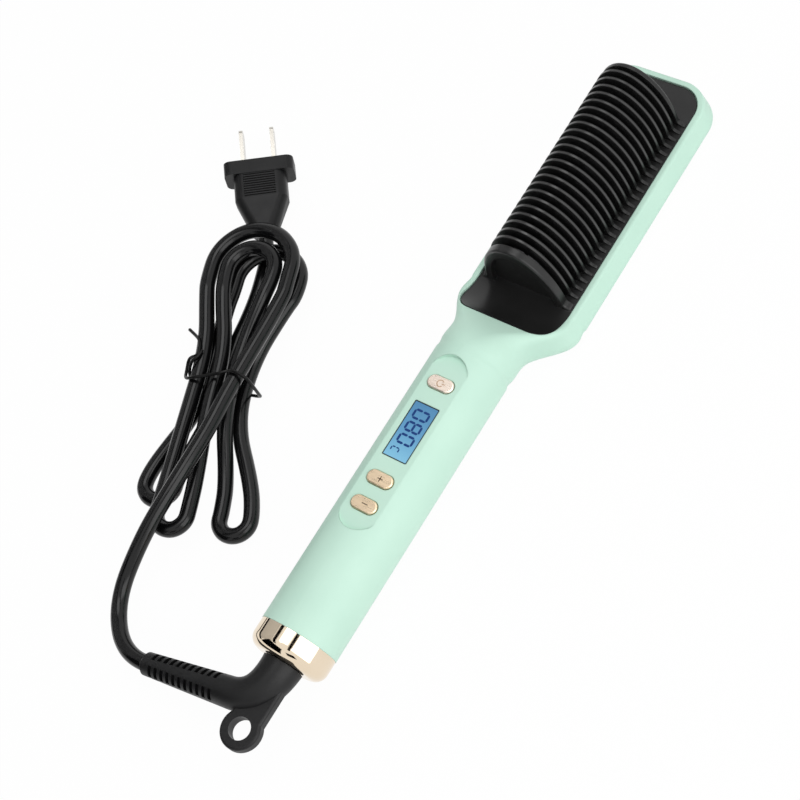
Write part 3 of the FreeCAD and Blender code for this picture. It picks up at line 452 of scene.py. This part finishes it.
def comb_paint():
    """The cover's black plastic, with a painted sheen along the middle of each rib's crest and painted shade
    at its sides, both set through the specular level.
    """
    paint = moulded(comb_moulding)
    parts = paint.axes()
    first_edge = rib_first - rib_pitch / 2
    steps = paint.combine("DIVIDE", paint.combine("SUBTRACT", parts["Y"], first_edge), rib_pitch)
    middle = paint.combine("ABSOLUTE", paint.combine("SUBTRACT", paint.combine("FRACT", steps), 1 / 2))
    distance = paint.combine("MULTIPLY", middle, rib_pitch)
    crest_low, crest_high = (share * rib_half for share in painted_sheen_shares)
    # Painted highlight: the specular level is raised along each crest's middle and lowered, as painted
    # shade, towards the rib's sides.
    painted_sheen = paint.span(distance, painted_crest_sheen, painted_side_shade, crest_low, crest_high)
    high = paint.span(parts["Z"], 0.0, 1.0, rib_foot, rib_foot + rib_rise)
    on_ribs = paint.combine("MULTIPLY", high, paint.inside(steps, 0.0, float(rib_count), rib_end_share))
    mixed = paint.add("ShaderNodeMix", data_type="FLOAT")
    mixed.inputs["A"].default_value = plate_specular
    paint.join(on_ribs, mixed.inputs["Factor"])
    paint.join(painted_sheen, mixed.inputs["B"])
    paint.feed(mixed.outputs["Result"], "Specular IOR Level")
    return paint


def white_rays(tree):
    """One for a ray from the camera, a gloss or a glass, and nought for the light that surfaces receive."""
    rays = add_node(tree, "ShaderNodeLightPath")
    total = rays.outputs["Is Camera Ray"]
    for name in ("Is Glossy Ray", "Is Transmission Ray"):
        step = add_node(tree, "ShaderNodeMath", operation="MAXIMUM")
        tree.links.new(total, step.inputs[0])
        tree.links.new(rays.outputs[name], step.inputs[1])
        total = step.outputs["Value"]
    return total


def floor_paint():
    """A pale floor, white to the camera, that keeps a faint shadow."""
    material = bpy.data.materials.new("floor_white")
    material.use_nodes = True
    tree = material.node_tree
    tree.nodes.clear()
    pale = add_node(tree, "ShaderNodeBsdfDiffuse")
    pale.inputs["Color"].default_value = linear(floor_colour)
    glow = add_node(tree, "ShaderNodeEmission")
    share = add_node(tree, "ShaderNodeMath", operation="MULTIPLY")
    share.inputs[1].default_value = floor_glow
    mixed = add_node(tree, "ShaderNodeMixShader")
    output = add_node(tree, "ShaderNodeOutputMaterial")
    tree.links.new(white_rays(tree), share.inputs[0])
    tree.links.new(share.outputs["Value"], mixed.inputs["Fac"])
    tree.links.new(pale.outputs["BSDF"], mixed.inputs[1])
    tree.links.new(glow.outputs["Emission"], mixed.inputs[2])
    tree.links.new(mixed.outputs["Shader"], output.inputs["Surface"])
    return material


def make_paints():
    made = {key: moulded(look) for key, look in mouldings.items()}
    made.update({key: metal(look) for key, look in metals.items()})
    made["comb"] = comb_paint()
    made["display"] = display_paint()
    return {key: paint.material for key, paint in made.items()}


def give(piece, paint):
    piece.data.materials.clear()
    piece.data.materials.append(paints[paint])


def placed(name, data):
    """A new object in the scene that holds the data."""
    thing = bpy.data.objects.new(name, data)
    bpy.context.scene.collection.objects.link(thing)
    return thing


def new_piece(name, mesh, paint):
    piece = placed(name, mesh)
    give(piece, paint)
    return piece


def finished_mesh(name, body):
    mesh = bpy.data.meshes.new(name)
    body.to_mesh(mesh)
    body.free()
    return mesh


def spline_points(control, closeness):
    """The points of one smooth spline that has these control points."""
    curve = bpy.data.curves.new("route", "CURVE")
    curve.dimensions = "3D"
    curve.resolution_u = closeness
    spline = curve.splines.new("NURBS")
    spline.points.add(len(control) - 1)
    for point, place in zip(spline.points, control):
        point.co = (*place, 1.0)
    spline.order_u = 3
    spline.use_endpoint_u = True
    route = placed("route", curve)
    bpy.context.view_layer.update()
    mesh = bpy.data.meshes.new_from_object(route)
    points = [vertex.co.copy() for vertex in mesh.vertices]
    bpy.data.objects.remove(route)
    bpy.data.curves.remove(curve)
    bpy.data.meshes.remove(mesh)
    return points


def tube_mesh(name, points, radius, sides):
    """A closed round tube along the points, turned as little as possible from one ring to the next."""
    body = bmesh.new()
    heading = (points[1] - points[0]).normalized()
    side = heading.orthogonal().normalized()
    rings = []
    for i, point in enumerate(points):
        ahead = (points[min(i + 1, len(points) - 1)] - points[max(i - 1, 0)]).normalized()
        side = (side - ahead * side.dot(ahead)).normalized()
        other = ahead.cross(side)
        ring = []
        for k in range(sides):
            angle = 2 * math.pi * k / sides
            outward = side * math.cos(angle) + other * math.sin(angle)
            ring.append(body.verts.new(point + outward * radius))
        rings.append(ring)
    for first, second in zip(rings, rings[1:]):
        for k in range(sides):
            body.faces.new((first[k], first[k - 1], second[k - 1], second[k]))
    body.faces.new(rings[0])
    body.faces.new(rings[-1][::-1])
    bmesh.ops.recalc_face_normals(body, faces=body.faces)
    mesh = finished_mesh(name, body)
    for face in mesh.polygons:
        face.use_smooth = len(face.vertices) == 4
    return mesh


def hank_place(across, along, height):
    place = hank_middle + hank_across * across + hank_along * along
    return Vector((place.x, place.y, height))


def arch_points(across, along, radius, height, side, turn):
    """The six corners that one end of a loop is drawn round, from the side where the cord comes in."""
    short = arch_share * radius
    half = ((radius, -short), (radius, short), (short, radius))
    corners = half + tuple((-x, y) for x, y in half[::-1])
    return [hank_place(across + side * x, along + turn * y, height) for x, y in corners]


def loop_end(i, turn):
    """The middle, radius, height, entry side and next slot of a loop's top or bottom end."""
    if turn > 0:
        middle = (top_middle_across[i], top_middle_along[i])
        return *middle, top_radius[i], level_heights[top_levels[i]], top_entry_sides[i], 2 * i
    middle = (bottom_middle_across[i], bottom_middle_along[i])
    height = level_heights[bottom_levels[i]]
    return *middle, bottom_radius[i], height, bottom_entry_sides[i], 2 * i + 1


def hank_points():
    """The hank's control points: up and down its loops, through a slot at the waist between two ends."""
    points = []
    slot_place = None
    for i in range(len(top_radius)):
        for turn in (1, -1):
            across, along, radius, height, side, slot = loop_end(i, turn)
            waist = level_heights[slot_levels[slot]] + waist_lift
            near = leg_share * along
            far = (1 - leg_share) * along
            entry = across + side * radius
            leave = across - side * radius
            if slot_place is not None:
                points.append(hank_place(slot_place[0], near, slot_place[1]))
                entry += lean_share * (slot_place[0] - entry)
            points.append(hank_place(entry, far, height))
            points += arch_points(across, along, radius, height, side, turn)
            points.append(hank_place(leave + lean_share * (slot_across[slot] - leave), far, height))
            points.append(hank_place(slot_across[slot], near, waist))
            slot_place = (slot_across[slot], waist)
    points.append(hank_place(slot_place[0], leg_share * tail_along, slot_place[1]))
    points.append(hank_place(tail_across, (1 - leg_share) * tail_along, level_heights[0]))
    points.append(hank_place(tail_across, tail_along + tail_reach, level_heights[0]))
    tail_start = plug_end - plug_axis * plug_tail_run
    return points + [tail_start - plug_axis * tail_reach, plug_end]


def make_cord():
    control = [Vector(place) for place in (relief_end, *lead_route)] + hank_points()
    points = spline_points(control, cord_closeness)
    mesh = tube_mesh("mains_cord", points, cord_radius, cord_sides)
    cord = new_piece("mains_cord", mesh, "cable")
    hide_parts("cord_lead", "cord_hank")
    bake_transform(cord)
    return cord, points


def make_tie():
    """The wire tie: round the hank's waist, with its ends twisted and one of them curled outwards."""
    points = spline_points([hank_place(*place) for place in tie_route], tie_closeness)
    mesh = tube_mesh("cord_tie", points, tie_radius, tie_sides)
    tie = new_piece("cord_tie", mesh, "tie")
    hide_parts("twist_tie")
    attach(tie, "comb")
    return tie


def plate_mesh(name, outlines, low, high):
    """Thin flat plates, one for each outline of points across and along."""
    body = bmesh.new()
    for outline in outlines:
        lower = [body.verts.new((x, y, low)) for x, y in outline]
        upper = [body.verts.new((x, y, high)) for x, y in outline]
        body.faces.new(lower[::-1])
        body.faces.new(upper)
        for k in range(len(outline)):
            body.faces.new((lower[k - 1], lower[k], upper[k], upper[k - 1]))
    bmesh.ops.recalc_face_normals(body, faces=body.faces)
    return finished_mesh(name, body)


def stroke_outline(across, along, half, thick, along_first):
    """One display segment with pointed ends."""
    inner = half - thick
    tips = ((-half, 0), (-inner, thick), (inner, thick), (half, 0), (inner, -thick), (-inner, -thick))
    if along_first:
        return [(across + y, along + x) for x, y in tips]
    return [(across + x, along + y) for x, y in tips]


def figure_outlines(segments, across, along, width, height, stroke):
    """A seven-segment figure that reads towards the handle's end, its top towards the right."""
    half_width = (width - stroke) / 2
    quarter = (height - stroke) / 4
    thick = stroke / 2
    flat = half_width - figure_gap
    tall = quarter - figure_gap
    shapes = {
        "a": (across + 2 * quarter, along, flat, thick, True),
        "b": (across + quarter, along - half_width, tall, thick, False),
        "c": (across - quarter, along - half_width, tall, thick, False),
        "d": (across - 2 * quarter, along, flat, thick, True),
        "e": (across - quarter, along + half_width, tall, thick, False),
        "f": (across + quarter, along + half_width, tall, thick, False),
        "g": (across, along, flat, thick, True),
    }
    return [stroke_outline(*shapes[name]) for name in segments]


def make_display_figures():
    outlines = []
    for along, segments in zip(figure_places, figure_segments):
        outlines += figure_outlines(segments, 0.0, along, figure_width, figure_height, figure_stroke)
    outlines += figure_outlines(unit_segments, *unit_place, unit_width, unit_height, unit_stroke)
    mesh = plate_mesh("display_figures", outlines, display_top, display_top + figure_rise)
    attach(new_piece("display_figures", mesh, "ink"), "comb")


def bar(across, along, half_across, half_along):
    return [(across + x * half_across, along + y * half_along) for x, y in square]


def power_outlines():
    """The power sign: an open ring and the short bar in its gap."""
    across, along = power_place
    half = sign_stroke / 2
    outlines = [bar(across + power_radius, along, power_radius / 2, half)]
    inner = power_radius - half
    outer = power_radius + half
    turn = 2 * math.pi - 2 * power_gap
    angles = [power_gap + turn * k / power_steps for k in range(power_steps + 1)]
    for first, second in zip(angles, angles[1:]):
        corners = ((inner, first), (outer, first), (outer, second), (inner, second))
        outlines.append([(across + r * math.cos(a), along + r * math.sin(a)) for r, a in corners])
    return outlines


def make_signs():
    half = sign_stroke / 2
    plus = [bar(*plus_place, plus_reach, half), bar(*plus_place, half, plus_reach)]
    minus = [bar(*minus_place, minus_reach, half)]
    for name, outlines, paint, body in (
        ("plus_sign", plus, "sign", "plus_key"),
        ("minus_sign", minus, "sign", "minus_key"),
        ("power_sign", power_outlines(), "pale_sign", "power_key"),
    ):
        mesh = plate_mesh(name, outlines, button_top, button_top + sign_rise)
        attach(new_piece(name, mesh, paint), body)


def make_camera():
    data = bpy.data.cameras.new("camera")
    data.lens = camera_lens
    data.sensor_width = camera_sensor
    data.sensor_fit = "HORIZONTAL"
    data.clip_start = camera_near
    camera = placed("camera", data)
    right = camera_right.normalized()
    back = right.cross(-camera_down).normalized()
    up = back.cross(right)
    turn = Matrix((right, up, back)).transposed().to_4x4()
    camera.matrix_world = Matrix.Translation(camera_place) @ turn
    bpy.context.scene.camera = camera


def soft_light(name, place, size, power):
    data = bpy.data.lights.new(name, "AREA")
    data.shape = "RECTANGLE"
    data.size, data.size_y = size
    data.energy = power
    light = placed(name, data)
    light.location = place
    light.rotation_euler = (-Vector(place)).to_track_quat("-Z", "Y").to_euler()


def flat_sheet(name, place, half_size, material):
    """A flat rectangle that belongs to the studio."""
    wide, high = half_size
    body = bmesh.new()
    body.faces.new([body.verts.new((x * wide, y * high, 0.0)) for x, y in square])
    sheet = placed(name, finished_mesh(name, body))
    sheet.data.materials.append(material)
    sheet.location = place
    return sheet


def studio_card(paint, place, half_size):
    """A card that faces the object from far off and shows only in its reflections."""
    card = flat_sheet("studio_card", place, half_size, paints[paint])
    card.rotation_euler = (-Vector(place)).to_track_quat("Z", "Y").to_euler()
    card.visible_camera = False
    card.visible_diffuse = False
    card.visible_shadow = False


def make_world():
    """An even white light, at full strength where the background itself is seen."""
    world = bpy.data.worlds.new("studio")
    bpy.context.scene.world = world
    world.use_nodes = True
    tree = world.node_tree
    background = tree.nodes["Background"]
    strength = add_node(tree, "ShaderNodeMapRange")
    strength.inputs["To Min"].default_value = ambient
    strength.inputs["To Max"].default_value = white_level
    tree.links.new(white_rays(tree), strength.inputs["Value"])
    tree.links.new(strength.outputs["Result"], background.inputs["Strength"])
    background.inputs["Color"].default_value = white


def make_studio():
    flat_sheet("floor", (0.0, 0.0, -floor_drop), (floor_half, floor_half), floor_paint())
    make_world()
    soft_light("key_light", key_place, key_size, key_power)
    soft_light("top_light", top_place, top_size, top_power)
    for card in cards:
        studio_card(*card)
    bpy.context.scene.view_settings.view_transform = "Standard"


paints = make_paints()
for paint, names in node_paints.items():
    for name in names:
        give(nodes[name], paint)

make_camera()
cord, cord_points = make_cord()
tie = make_tie()
make_display_figures()
make_signs()
make_studio()
